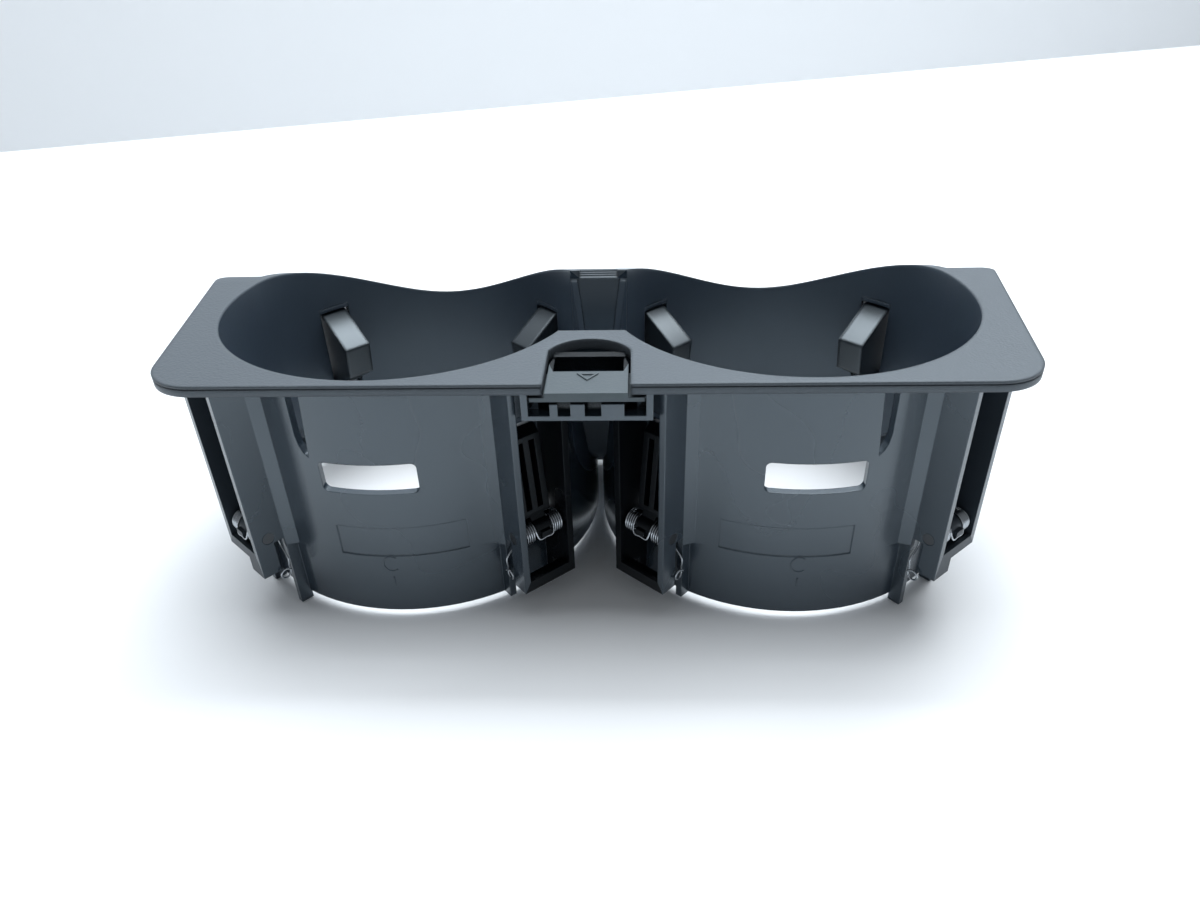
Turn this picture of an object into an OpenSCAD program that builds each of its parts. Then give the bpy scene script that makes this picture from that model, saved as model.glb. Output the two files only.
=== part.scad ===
// Twin car cup holder: one moulded housing with two open wells, eight sprung gripping arms
// and a slide latch in the front edge.

/* [Housing] */
// Height from the standing surface to the top face
height = 58; // [57:0.5:62]
// How far the flange stands out beside the wells at its rear edge
flange_side = 8.7; // [6:0.1:12]
// How much narrower the flange gets on each side towards the front
flange_taper = 9.75; // [6:0.25:11]
// How far the flange reaches behind the wells' axes
flange_back = 16.4; // [14:0.2:20]
// Thickness of the top flange
flange_t = 2.2; // [1.8:0.1:2.6]
// Corner radius at the front of the flange
front_corner_r = 11; // [3:0.5:14]
// Corner radius at the rear of the flange
rear_corner_r = 2.5; // [1:0.5:6]
// Depth of the fine shadow line around the flange edge
edge_line = 0.35; // [0.2:0.05:0.6]

/* [Wells] */
// Inner radius of each well
well_r = 40.6; // [36:0.1:46]
// Wall thickness of the wells
wall = 1.7; // [1.4:0.1:1.9]
// Gap between the outsides of the two wells
well_gap = 1.4; // [1:0.1:3]
// Distance of the wells' outsides behind the front edge
well_front = 0.5; // [0.3:0.1:2]
// Clearance under the lower rim of the wells
rim_lift = 2; // [0.5:0.5:4]
// How far behind the wells' axes the top starts to curve down
crown_start = 11.2; // [9:0.2:14]
// How far the curve of the rear of the top would run on behind the lip
crown_overrun = 5.2; // [4:0.2:8]
// Width of the lip around the rear of the wells
lip_w = 1.2; // [0.6:0.1:1.8]
// Depth of the flat bridge between the latch slot and the neck
neck_land = 4.2; // [3:0.2:6]
// How far the rear of the neck lies behind the wells' axes
neck_back = 18.7; // [16:0.1:20]
// Height of the neck's lowest point above the standing surface
neck_z = 14.4; // [10:0.2:19]
// Thickness of the web that joins the wells at the rear
web_t = 2; // [1.4:0.2:3]

/* [Front wall details] */
// Width of the windows in the front walls
window_w = 20; // [12:0.5:21]
// Height of the windows in the front walls
window_h = 7; // [4:0.5:7.5]
// Height of the lower edge of the windows above the standing surface
window_z = 33; // [28:0.5:33]
// Width of the pointed slots beside the windows
blade_w = 3.4; // [2:0.2:4]
// Length of the pointed slots below the flange
blade_h = 15.2; // [12:0.2:15.4]

/* [Arms] */
// Angle of the front arms from straight ahead
front_arm_angle = 41; // [40:0.5:42]
// Angle of the rear arms from straight behind
rear_arm_angle = 45; // [43:0.5:47]
// Width of an arm
arm_w = 7; // [6:0.2:7.6]
// Height of an arm above its pivot
arm_h = 22.4; // [20:0.2:22.6]
// How far an arm reaches into the well at rest
arm_reach = 10.1; // [8:0.1:11]
// Drop of an arm's sloped lead-in
arm_slope = 6.8; // [5:0.2:8]
// Height of an arm's gripping face
arm_face = 8.3; // [7:0.1:9]
// Wall thickness of an arm
arm_t = 1.5; // [1.2:0.1:1.8]
// Height of the arm pivots above the standing surface
pivot_z = 20.2; // [19.6:0.2:20.4]
// Distance of the arm pivots outside the wells' walls
pivot_out = 5.3; // [5:0.1:5.5]
// Radius of the arm pins
pin_r = 1.3; // [1:0.1:1.4]
// Running clearance of an arm on its pin
pin_gap = 0.05; // [0.02:0.01:0.1]

/* [Channels] */
// Inside width of the channels that carry the arms
channel_w = 10.4; // [10.2:0.1:11]
// Wall thickness of the channels
channel_t = 1.5; // [1.2:0.1:1.8]
// How far the channels run on past the arm pivots
channel_reach = 3.2; // [3.1:0.1:4]
// Height of the roof over the rear channels
rear_roof_z = 46; // [45.6:0.2:47]

/* [Springs] */
// Wire diameter of the arm springs
wire_d = 0.5; // [0.4:0.05:0.55]
// Mean radius of the arm springs' coils
coil_r = 2.35; // [2.3:0.05:2.5]
// Gap between the turns of a coil
turn_gap = 0.05; // [0.03:0.01:0.07]

/* [Latch] */
// Width of the latch slot in the flange
latch_slot_w = 16.4; // [14:0.2:17]
// Depth of the latch slot, front to rear
latch_slot_d = 19.9; // [19:0.1:20.4]
// Gap at each side of the latch in its slot
latch_side_gap = 0.45; // [0.3:0.05:0.8]
// Depth of the latch's top face below the flange's
latch_drop = 1.3; // [0.8:0.1:1.6]
// How far the latch stands out in front of the flange
latch_reach = 1; // [0.5:0.1:2]
// Travel of the latch
latch_travel = 3; // [2:0.5:3.5]
// Sliding clearance of the latch in its tray
slide_gap = 0.2; // [0.1:0.05:0.3]
// Outside width of the latch tray
tray_w = 24.8; // [24:0.2:26]
// Height of the latch tray
tray_h = 5.5; // [5.3:0.1:6]

/* [Hidden] */
$fn = 96;
eps = 0.01;

// Housing
well_outer = well_r + wall;
well_x = well_outer + well_gap / 2;
well_y = well_outer + well_front;
back_y = well_y + well_outer + lip_w;
flange_d = well_y + flange_back;
flange_rear_w = 2 * (well_x + well_outer + flange_side);
flange_front_w = flange_rear_w - 2 * flange_taper;
flange_z = height - flange_t;
crown_y = well_y + crown_start;
crown_r = back_y - crown_y + crown_overrun;
crown_z = height - crown_r;

// Neck: the gap between the wells, with a notched pad on its rear edge
neck_front_y = latch_slot_d + neck_land;
web_y = well_y + neck_back;
neck_y = (neck_front_y + web_y) / 2;
neck_half = (web_y - neck_front_y) / 2;
web_w = 18;
web_top_d = 5;
pad_w = 9.4;
pad_drop = 1.9;
pad_run = 3.2;
pad_groove_r = 0.3;

// Edge line, windows, pointed slots and marking fields
line_z = height - 0.8;
line_h = 0.3;
window_angle = 2;
window_corner_r = 1.2;
blade_angle = 19;
field_depth = 0.25;
field_z = 17;
field_h = 7.4;
field_inner_angle = 23;
field_outer_angle = 14.5;

// Channels: the clip foot at the well, the slot for the spring's leg and the sloped bottom
pivot_u = well_outer + pivot_out;
channel_u = pivot_u + channel_reach;
channel_half = channel_w / 2;
channel_out = channel_half + channel_t;
channel_in_u = well_r + wall / 2;
foot_u = well_outer + 2;
leg_slot_w = 2.4;
leg_slot_z = pivot_z - 1.6;
corner_angle = 14.5;
corner_drop = 2;
flute_sag = 0.85;
bottom_t = 1;
step_t = 2.5;
lip_h = 2.6;
pin_seat = 0.03;

// Arms
arm_gap = 0.6;
face_u = well_r - arm_reach;
root_z = pivot_z + arm_h;
face_top_z = root_z - arm_slope;
face_low_z = face_top_z - arm_face;
arm_slot_low = pivot_z - 1.7;
arm_slot_high = root_z + 1.9;
hub_w = 3.6;
hub_r = pin_r + 1;
rib_t = 1.4;
cheek_t = 1.4;
coil_room = 0.6;

// Springs: the wire leaves each coil at these angles, for its leg and for the bridge
leg_angle = 171.4;
bridge_angle = 17;
bridge_l = 1.78;
full_turns = 4;
coil_steps = 8;
wire_sides = 6;
coil_outer = coil_r + wire_d / 2;
coil_sweep = 360 * full_turns + leg_angle - bridge_angle;
coil_in_t = hub_w / 2 + 0.2 + wire_d / 2;
coil_out_t = coil_in_t + (wire_d + turn_gap) * coil_sweep / 360;
leg_u = foot_u + 0.7;
leg_out_t = channel_out + wire_d / 2 + 0.15;
leg_bend = 0.1;
leg_drop = 1.2;
leg_step = 1.8;
loop_r = 1.2;
loop_drop = 10;
loop_z = pivot_z - loop_drop;
loop_lead = 0.65;

// Latch and its tray
tray_z = flange_z - tray_h;
tray_t = 1.3;
tray_floor_t = 1;
tray_in = tray_w / 2 - tray_t;
tray_side_d = 14;
tray_back_y = latch_slot_d + 0.3;
tray_front_t = 1.2;
tray_front_w = 14;
rail_z = flange_z - 2;
rail_w = 1.7;
arch_r = latch_slot_w / 2 + 0.8;
latch_w = latch_slot_w - 2 * latch_side_gap;
latch_top_z = height - latch_drop;
latch_plate_t = 0.9;
wing_z = rail_z + slide_gap;
wing_w = 2 * (tray_in - 0.3);
wing_front_y = 0.6;
wing_back_y = 10.5;
tongue_w = 11.6;
tongue_back_y = tray_back_y - latch_travel - 0.3;
bar_w = 14.2;
bar_d = 2.2;
bar_h = 0.3;
bar_back_y = latch_slot_d - 4;
grip_w = 13.6;
grip_d = 5.8;
taper_w = 0.9;
taper_d = 3.6;
lug_w = 3.2;
lug_t = 1.2;
lug_y = bar_back_y - bar_d - grip_d - lug_t - 0.1;
arrow_y = 5.3;
latch_coil_x = -1.75;
latch_coil_r = 0.95;
latch_wire_d = 0.36;
latch_coil_turns = 4;
latch_coil_seat = 0.05;
latch_coil_z = tray_z + tray_floor_t + (wing_z - tray_z - tray_floor_t) / 2;

arm_names = [
    "left_front_outer", "left_front_inner", "left_rear_outer", "left_rear_inner",
    "right_front_outer", "right_front_inner", "right_rear_outer", "right_rear_inner"
];
arm_sides = [-1, -1, -1, -1, 1, 1, 1, 1];
arm_azimuths = [
    270 - front_arm_angle, 270 + front_arm_angle, 90 + rear_arm_angle, 90 - rear_arm_angle,
    270 + front_arm_angle, 270 - front_arm_angle, 90 - rear_arm_angle, 90 + rear_arm_angle
];

function is_front(c) = c % 4 < 2;
function is_outer(c) = c % 2 == 0;
// The spring's leg comes out of the channel's front face at the front, its rear face at the rear
function leg_side(c) = (is_front(c) ? -1 : 1) * sign(cos(arm_azimuths[c]));
function channel_low(c) = is_outer(c) ? 11 : 7;
function channel_step(c) = is_outer(c) ? 3.5 : 0;
function channel_foot(c) = is_outer(c) ? 0 : rim_lift;
function leg_z(i) = pivot_z - leg_drop - i * leg_step;
function channel_top(c) = is_front(c) ? flange_z + flange_t / 2 : rear_roof_z;

// The sub-parts are drawn from the flange's front edge, and moved to the middle here
module placed() {
    translate([0, (latch_reach - back_y) / 2, 0])
        children();
}

// Frame of a channel: X points out of the well and Y to the side of the spring's leg
module in_channel(c) {
    translate([arm_sides[c] * well_x, well_y, 0])
        rotate([0, 0, arm_azimuths[c]])
            mirror([0, leg_side(c) < 0 ? 1 : 0, 0])
                children();
}

module at_wells() {
    for (side = [-1, 1])
        translate([side * well_x, well_y, 0])
            children();
}

module both_sides() {
    for (side = [-1, 1])
        mirror([side < 0 ? 1 : 0, 0, 0])
            children();
}

// Extrudes an outline drawn as (X, Z) from one value of Y to another
module between_y(y0, y1) {
    translate([0, y1, 0])
        rotate([90, 0, 0])
            linear_extrude(height = y1 - y0)
                children();
}

// Extrudes an outline drawn as (Y, Z) over a width centred on X
module across_x(w) {
    rotate([90, 0, 90])
        translate([0, 0, -w / 2])
            linear_extrude(height = w)
                children();
}

module box(x, y, z) {
    translate([x[0], y[0], z[0]])
        cube([x[1] - x[0], y[1] - y[0], z[1] - z[0]]);
}

module rounded_rect(w, h, r) {
    square([w - 2 * r, h], center = true);
    square([w, h - 2 * r], center = true);
    for (x = [-1, 1], y = [-1, 1])
        translate([x * (w / 2 - r), y * (h / 2 - r)])
            circle(r, $fn = 32);
}

// Outline of the flange: a trapezoid with rounded corners, drawn in by inset
module flange_outline(inset = 0) {
    lean = atan((flange_rear_w - flange_front_w) / 2 / flange_d);
    w0 = flange_front_w / 2 - inset / cos(lean) + inset * tan(lean);
    w1 = flange_rear_w / 2 - inset / cos(lean) - inset * tan(lean);
    d = flange_d - inset;
    r0 = front_corner_r - inset;
    r1 = rear_corner_r - inset;
    x0 = w0 - r0 * (1 - sin(lean)) / cos(lean);
    x1 = w1 - r1 * (1 + sin(lean)) / cos(lean);
    right_half = [
        [x0, inset],
        [x0 + r0 * cos(lean), inset + r0 - r0 * sin(lean)],
        [x1 + r1 * cos(lean), d - r1 - r1 * sin(lean)],
        [x1, d]
    ];
    left_half = [for (i = [3:-1:0]) [-right_half[i][0], right_half[i][1]]];
    polygon(concat(right_half, left_half));
    for (side = [-1, 1]) {
        translate([side * x0, inset + r0])
            circle(r0);
        translate([side * x1, d - r1])
            circle(r1);
    }
}

// Top skin: flat at the front, then following the crown's curve down at the rear
module top_skin(t) {
    across_x(2 * flange_rear_w) {
        translate([-flange_d, height - t])
            square([flange_d + crown_y + eps, t]);
        translate([crown_y, crown_z])
            intersection() {
                difference() {
                    circle(crown_r, $fn = 192);
                    circle(crown_r - t, $fn = 192);
                }
                square(crown_r + 1);
            }
    }
}

// What the curve of the crown takes off the rear
module above_crown() {
    across_x(2 * flange_rear_w)
        translate([crown_y, crown_z])
            difference() {
                square([flange_d, crown_r + 1]);
                circle(crown_r, $fn = 192);
            }
}

module flange() {
    difference() {
        intersection() {
            top_skin(flange_t);
            linear_extrude(height = height + 1) {
                flange_outline();
                intersection() {
                    at_wells()
                        circle(well_outer + lip_w);
                    translate([-flange_rear_w / 2, well_y])
                        square([flange_rear_w, back_y]);
                }
                translate([-web_w / 2, web_y])
                    square([web_w, web_top_d]);
            }
        }
        translate([0, 0, line_z])
            linear_extrude(height = line_h)
                difference() {
                    translate([-flange_rear_w, -flange_d])
                        square([2 * flange_rear_w, flange_d + crown_y - 4]);
                    flange_outline(edge_line);
                }
    }
}

module well_walls() {
    wall_top = flange_z + flange_t / 2;
    at_wells()
        translate([0, 0, rim_lift])
            cylinder(r = well_outer, h = wall_top - rim_lift);
    box([-web_w / 2, web_w / 2], [web_y, web_y + web_t], [rim_lift, wall_top]);
}

// Side wall of a channel with the slot for the spring's leg
module leg_side_wall(c) {
    between_y(channel_half, channel_out) {
        translate([channel_in_u, leg_slot_z])
            square([channel_u - channel_in_u, channel_top(c) - leg_slot_z]);
        translate([foot_u + leg_slot_w, channel_low(c)])
            square([channel_u - foot_u - leg_slot_w, leg_slot_z - channel_low(c) + eps]);
        translate([channel_in_u, channel_foot(c)])
            square([foot_u - channel_in_u, leg_slot_z - channel_foot(c) + eps]);
    }
}

module plain_side_wall(c) {
    side_low = channel_low(c) + channel_step(c);
    between_y(-channel_out, -channel_half) {
        translate([channel_in_u, side_low])
            square([channel_u - channel_in_u, channel_top(c) - side_low]);
        translate([channel_in_u, channel_foot(c)])
            square([foot_u - channel_in_u, side_low - channel_foot(c) + eps]);
    }
}

// Bottom and lip at a channel's open end, with a step down to the side of the spring's leg
module channel_bottom(c) {
    low = channel_low(c);
    high = low + channel_step(c);
    inner_u = foot_u + leg_slot_w;
    box([inner_u, channel_u], [-channel_half - eps, step_t], [high, high + bottom_t]);
    box([channel_u - bottom_t, channel_u], [-channel_half - eps, step_t],
        [high, high + lip_h]);
    box([inner_u, channel_u], [step_t - bottom_t, channel_half + eps], [low, low + bottom_t]);
    box([inner_u, channel_u], [step_t - bottom_t, step_t], [low, high + bottom_t]);
    box([channel_u - bottom_t, channel_u], [step_t - bottom_t, channel_half + eps],
        [low, high + lip_h]);
}

// Fluted blend between a front channel and the well's wall
module corner_blend(c) {
    p = [foot_u, channel_out];
    q = [well_outer * cos(corner_angle), well_outer * sin(corner_angle)];
    chord = norm(q - p);
    outward = [q[1] - p[1], p[0] - q[0]] / chord;
    translate([0, 0, leg_slot_z - corner_drop])
        linear_extrude(height = channel_top(c) - leg_slot_z + corner_drop)
            polygon([
                [channel_in_u, channel_half],
                [foot_u, channel_half],
                [foot_u, channel_out],
                (p + q) / 2 - outward * flute_sag,
                q,
                [well_r * cos(corner_angle), well_r * sin(corner_angle)]
            ]);
}

module channel(c) {
    leg_side_wall(c);
    plain_side_wall(c);
    channel_bottom(c);
    if (is_front(c))
        corner_blend(c);
    else
        box([channel_in_u, channel_u], [-channel_out, channel_out],
            [rear_roof_z - channel_t, rear_roof_z]);
}

// The opening in the well's wall for an arm, and the seats of its pin
module channel_cuts() {
    arm_slot_half = arm_w / 2 + arm_gap;
    box([well_r - wall, well_outer + 0.2], [-arm_slot_half, arm_slot_half], [arm_slot_low, arm_slot_high]);
    translate([pivot_u, 0, pivot_z])
        rotate([90, 0, 0])
            cylinder(r = pin_r + pin_seat, h = 2 * channel_out + 1, center = true);
}

// Space under the flange in which the latch slides
module tray_space() {
    box([-tray_in, tray_in], [-1, tray_back_y], [tray_z + tray_floor_t, flange_z]);
}

module tray() {
    box([-tray_w / 2, tray_w / 2], [0, tray_back_y], [tray_z, tray_z + tray_floor_t]);
    both_sides() {
        box([tray_in, tray_w / 2], [0, tray_side_d], [tray_z, flange_z + eps]);
        box([tray_in - rail_w, tray_in + eps], [3, tray_side_d], [tray_z, rail_z]);
    }
    box([-web_w / 2, web_w / 2], [tray_back_y, tray_back_y + tray_t], [tray_z, flange_z + eps]);
    difference() {
        box([-tray_front_w / 2, tray_front_w / 2], [0, tray_front_t], [tray_z, rail_z]);
        box([-5.5, -3.1], [-1, 2], [rail_z - 2.6, rail_z + 1]);
        box([-0.4, 2.7], [-1, 2], [rail_z - 2.6, rail_z + 1]);
    }
}

// Plan of the slot for the latch: straight sides closed by a round arch
module latch_slot() {
    translate([-latch_slot_w / 2, -1])
        square([latch_slot_w, latch_slot_d - arch_r + 1]);
    intersection() {
        translate([0, latch_slot_d - arch_r])
            circle(arch_r);
        translate([-latch_slot_w / 2, 0])
            square([latch_slot_w, 2 * latch_slot_d]);
    }
}

// The U-shaped gap between the wells
module neck() {
    across_x(web_w - 1)
        translate([neck_y, neck_z + neck_half]) {
            circle(neck_half);
            translate([-neck_half, 0])
                square([2 * neck_half, height]);
        }
}

// Window, pointed slot and shallow marking field of one well, with +X on its outer side
module front_wall_cuts() {
    rotate([0, 0, window_angle])
        between_y(-well_outer - 2, -well_r * 0.8)
            translate([0, window_z + window_h / 2])
                rounded_rect(window_w, window_h, window_corner_r);
    rotate([0, 0, blade_angle])
        between_y(-well_outer - 2, -well_r * 0.9)
            translate([0, flange_z])
                polygon([
                    [-blade_w / 2, 0],
                    [blade_w / 2, 0],
                    [blade_w / 2, 4.7 - blade_h],
                    [blade_w * 0.38, 2.5 - blade_h],
                    [blade_w * 0.12, 0.9 - blade_h],
                    [-blade_w * 0.18, -blade_h]
                ]);
    rotate([0, 0, 270 - field_inner_angle])
        rotate_extrude(angle = field_inner_angle + field_outer_angle)
            translate([well_outer - field_depth, field_z])
                square([1, field_h]);
}

// Height of the top over a place behind the start of the crown
function crown_at(y) = crown_z + sqrt(pow(crown_r, 2) - pow(y - crown_y, 2));

// Sloped and grooved pad let into the neck's rear edge
module pad_cut() {
    low = crown_at(web_y) - pad_drop;
    high = crown_at(web_y + pad_run);
    across_x(pad_w)
        polygon([
            [web_y - pad_run, low],
            [web_y, low],
            [web_y + pad_run, high],
            [web_y + pad_run, height + 1],
            [web_y - pad_run, height + 1]
        ]);
    for (i = [1:3])
        translate([0, web_y + i * pad_run / 4, low + i * (high - low) / 4])
            rotate([0, 90, 0])
                cylinder(r = pad_groove_r, h = pad_w, center = true, $fn = 24);
}

module housing_body() {
    difference() {
        union() {
            flange();
            well_walls();
            difference() {
                union()
                    for (c = [0:7])
                        in_channel(c)
                            channel(c);
                tray_space();
            }
            tray();
        }
        at_wells()
            cylinder(r = well_r, h = 3 * height, center = true);
    }
}

module housing() {
    color("#2e3337")
        placed()
            difference() {
                housing_body();
                neck();
                above_crown();
                pad_cut();
                for (c = [0:7])
                    in_channel(c)
                        channel_cuts();
                both_sides()
                    translate([well_x, well_y, 0])
                        front_wall_cuts();
                translate([0, 0, flange_z - eps])
                    linear_extrude(height = flange_t + 1)
                        latch_slot();
            }
}

// Raised outline of a plain triangle that points at the front edge
module latch_arrow() {
    translate([0, arrow_y, latch_top_z - eps])
        linear_extrude(height = 0.25)
            difference() {
                polygon([[-2.1, 1.4], [2.1, 1.4], [0, -1.4]]);
                polygon([[-1.25, 1], [1.25, 1], [0, -0.65]]);
            }
}

// Plan of the latch's top plate, drawn in a little beside the grip
module latch_plan() {
    plate_back_y = bar_back_y - bar_d / 2;
    both_sides()
        polygon([
            [-eps, -latch_reach],
            [latch_w / 2, -latch_reach],
            [latch_w / 2, plate_back_y - taper_d],
            [latch_w / 2 - taper_w, plate_back_y],
            [-eps, plate_back_y]
        ]);
}

module latch() {
    color("#363c40")
        placed() {
            difference() {
                union() {
                    box([-wing_w / 2, wing_w / 2], [wing_front_y, wing_back_y],
                        [wing_z, wing_z + latch_plate_t]);
                    box([-tongue_w / 2, tongue_w / 2], [wing_front_y, tongue_back_y],
                        [wing_z, wing_z + latch_plate_t]);
                    translate([0, 0, wing_z + latch_plate_t - eps])
                        linear_extrude(height = latch_top_z - wing_z - latch_plate_t + eps)
                            latch_plan();
                    box([-bar_w / 2, bar_w / 2], [bar_back_y - bar_d, bar_back_y],
                        [wing_z, latch_top_z + bar_h]);
                    box([latch_coil_x - lug_w / 2, latch_coil_x + lug_w / 2], [lug_y, lug_y + lug_t],
                        [tray_z + tray_floor_t + slide_gap, wing_z + eps]);
                }
                box([-grip_w / 2, grip_w / 2], [bar_back_y - bar_d - grip_d, bar_back_y - bar_d],
                    [tray_z, height]);
            }
            latch_arrow();
        }
}

// Profile of an arm as (distance from the well's axis, height)
module arm_outline() {
    polygon([
        [face_u, face_top_z],
        [well_r - 0.1, root_z],
        [well_r + 2.4, root_z + 0.5],
        [well_r + 4.4, root_z - 1.2],
        [pivot_u - 0.6, pivot_z + 3.6],
        [pivot_u + hub_r * 0.7, pivot_z],
        [pivot_u - 1, pivot_z - hub_r * 0.9],
        [pivot_u - 3, pivot_z - 0.6],
        [face_u + 0.8, face_low_z]
    ]);
}

// Hollow of an arm, open at its back
module arm_hollow() {
    skin = arm_t * 1.2;
    polygon([
        [face_u + arm_t, face_top_z + arm_t * 0.67 - skin],
        [well_r - 0.4, root_z - 0.2 - skin],
        [channel_u, root_z - 0.8 - skin],
        [channel_u, pivot_z + 5],
        [pivot_u - 4, pivot_z + 4],
        [face_u + 0.8 + arm_t, face_low_z + 0.3]
    ]);
}

module arm(c) {
    color("#24282c")
        placed()
            in_channel(c)
                difference() {
                    union() {
                        difference() {
                            between_y(-arm_w / 2, arm_w / 2)
                                arm_outline();
                            for (side = [-1, 1]) {
                                mirror([0, side < 0 ? 1 : 0, 0]) {
                                    between_y(rib_t / 2, arm_w / 2 - cheek_t)
                                        arm_hollow();
                                    translate([pivot_u, arm_w, pivot_z])
                                        rotate([90, 0, 0])
                                            cylinder(r = coil_outer + coil_room, h = arm_w - hub_w / 2);
                                }
                            }
                        }
                        translate([pivot_u, 0, pivot_z])
                            rotate([90, 0, 0])
                                cylinder(r = hub_r, h = hub_w, center = true);
                        box([pivot_u + 1, pivot_u + hub_r + 0.8], [-hub_w / 3, hub_w / 3],
                            [pivot_z - 0.6, pivot_z + 0.7]);
                    }
                    translate([pivot_u, 0, pivot_z])
                        rotate([90, 0, 0])
                            cylinder(r = pin_r + pin_gap, h = hub_w + 1, center = true);
                }
}

module pin(c) {
    color("#9aa0a6")
        placed()
            in_channel(c)
                translate([pivot_u, 0, pivot_z])
                    rotate([90, 0, 0])
                        cylinder(r = pin_r, h = 2 * channel_out - 0.2, center = true);
}

// Points of one coil from its outer end to the bridge, on the side of t given by side
function coil_points(side) =
    let(n = ceil(coil_sweep / 360 * coil_steps))
    [for (i = [0:n])
        let(a = leg_angle - coil_sweep * i / n)
        [pivot_u + coil_r * cos(a), side * (coil_out_t + (coil_in_t - coil_out_t) * i / n),
            pivot_z + coil_r * sin(a)]];

function bridge_point(side) = [
    pivot_u + coil_r * cos(bridge_angle) + bridge_l * sin(bridge_angle),
    side * coil_in_t,
    pivot_z + coil_r * sin(bridge_angle) - bridge_l * cos(bridge_angle)
];

// Leg that passes out through the slot and ends in a round loop
function looped_leg() = concat(
    [for (i = [10:-1:0])
        let(a = 180 + 33 * i)
        [leg_u + loop_r + loop_r * cos(a), leg_out_t + loop_lead * i / 10, loop_z + loop_r * sin(a)]],
    [
        [leg_u, leg_out_t, leg_z(4)],
        [leg_u - leg_bend, leg_out_t, leg_z(3)],
        [leg_u - leg_bend, channel_half, leg_z(2)],
        [leg_u - leg_bend / 2, coil_out_t, leg_z(1)],
        [leg_u + leg_bend, coil_out_t, leg_z(0)]
    ]
);

function plain_leg() = [
    [leg_u + leg_bend, -coil_out_t, leg_z(0)],
    [leg_u - leg_bend / 2, -coil_out_t, leg_z(1)],
    [leg_u - 3 * leg_bend, -coil_out_t, leg_z(2.5)]
];

function reversed(list) = [for (i = [len(list) - 1:-1:0]) list[i]];

function spring_path() = concat(
    looped_leg(),
    coil_points(1),
    [bridge_point(1), bridge_point(-1)],
    reversed(coil_points(-1)),
    plain_leg()
);

function unit(v) = v / norm(v);
function square_to(n, t) = unit(n - (n * t) * t);

// Round wire along a list of points, with its section carried along without twisting
module wire(path, d, first_normal) {
    count = len(path);
    tangents = [for (i = [0:count - 1]) unit(path[min(i + 1, count - 1)] - path[max(i - 1, 0)])];
    normals = [
        for (i = 0, n = square_to(first_normal, tangents[0]); i < count;
            i = i + 1, n = i < count ? square_to(n, tangents[i]) : n)
            n
    ];
    rings = [
        for (i = [0:count - 1], j = [0:wire_sides - 1])
            let(a = 360 * j / wire_sides)
            path[i] + d / 2 * (cos(a) * normals[i] + sin(a) * cross(tangents[i], normals[i]))
    ];
    sides = [
        for (i = [0:count - 2], j = [0:wire_sides - 1])
            let(a = i * wire_sides + j, b = i * wire_sides + (j + 1) % wire_sides)
            each [[a, a + wire_sides, b + wire_sides], [a, b + wire_sides, b]]
    ];
    ends = [
        [for (j = [0:wire_sides - 1]) j],
        [for (j = [wire_sides - 1:-1:0]) (count - 1) * wire_sides + j]
    ];
    polyhedron(rings, concat(sides, ends), convexity = 10);
}

module arm_spring(c) {
    color("#8a8f94")
        placed()
            in_channel(c)
                wire(spring_path(), wire_d, [0, 1, 0]);
}

module latch_spring() {
    y0 = tray_front_t + latch_wire_d / 2 + latch_coil_seat;
    y1 = lug_y - latch_wire_d / 2 - latch_coil_seat;
    count = latch_coil_turns * coil_steps;
    path = [
        for (i = [0:count])
            let(a = 360 * i / coil_steps)
            [latch_coil_x + latch_coil_r * cos(a), y0 + (y1 - y0) * i / count,
                latch_coil_z + latch_coil_r * sin(a)]
    ];
    color("#8a8f94")
        placed()
            wire(path, latch_wire_d, [0, 1, 0]);
}

housing();
latch();
latch_spring();
for (c = [0:7]) {
    arm(c);
    pin(c);
    arm_spring(c);
}
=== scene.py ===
# %% [markdown]
# # A twin car cup holder
# The real object is an injection moulded insert for a car console. Two open wells hang from a
# grained top flange, eight arms swing in their walls on steel pins, and a small latch slides in
# the front edge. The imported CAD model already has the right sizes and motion, so this lesson is
# about looks: soft moulded edges, round spring wire, true plastics and steel, and plain light.

import bmesh
import bpy
import numpy as np
from mathutils import Matrix, Vector


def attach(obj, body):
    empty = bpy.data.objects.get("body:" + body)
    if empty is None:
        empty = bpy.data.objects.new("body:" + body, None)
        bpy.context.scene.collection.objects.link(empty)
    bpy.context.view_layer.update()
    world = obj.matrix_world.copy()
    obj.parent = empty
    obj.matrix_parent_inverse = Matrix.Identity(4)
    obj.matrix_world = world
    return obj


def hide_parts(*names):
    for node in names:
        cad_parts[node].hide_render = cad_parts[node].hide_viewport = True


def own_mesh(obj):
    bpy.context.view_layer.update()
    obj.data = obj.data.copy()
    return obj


MM = 0.001
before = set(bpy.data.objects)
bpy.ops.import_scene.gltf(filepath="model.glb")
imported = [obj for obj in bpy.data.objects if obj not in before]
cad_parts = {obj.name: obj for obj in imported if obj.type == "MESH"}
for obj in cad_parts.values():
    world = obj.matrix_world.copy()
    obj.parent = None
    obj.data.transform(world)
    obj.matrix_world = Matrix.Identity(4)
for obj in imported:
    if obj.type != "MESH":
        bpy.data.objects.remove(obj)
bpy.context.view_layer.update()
scene = bpy.context.scene

# %% [markdown]
# ## The sizes that the looks need
# Blender draws finer wire than the CAD model does, so the springs are worked out again here from
# the same sizes. All of them are millimetres, in the frame that the CAD model uses: X runs to the
# right, Y to the rear and Z up. The outline's middle lies at Y 0, latch included, so the wells are
# moved by half the difference of what stands in front of the flange and what lies behind it.

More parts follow.
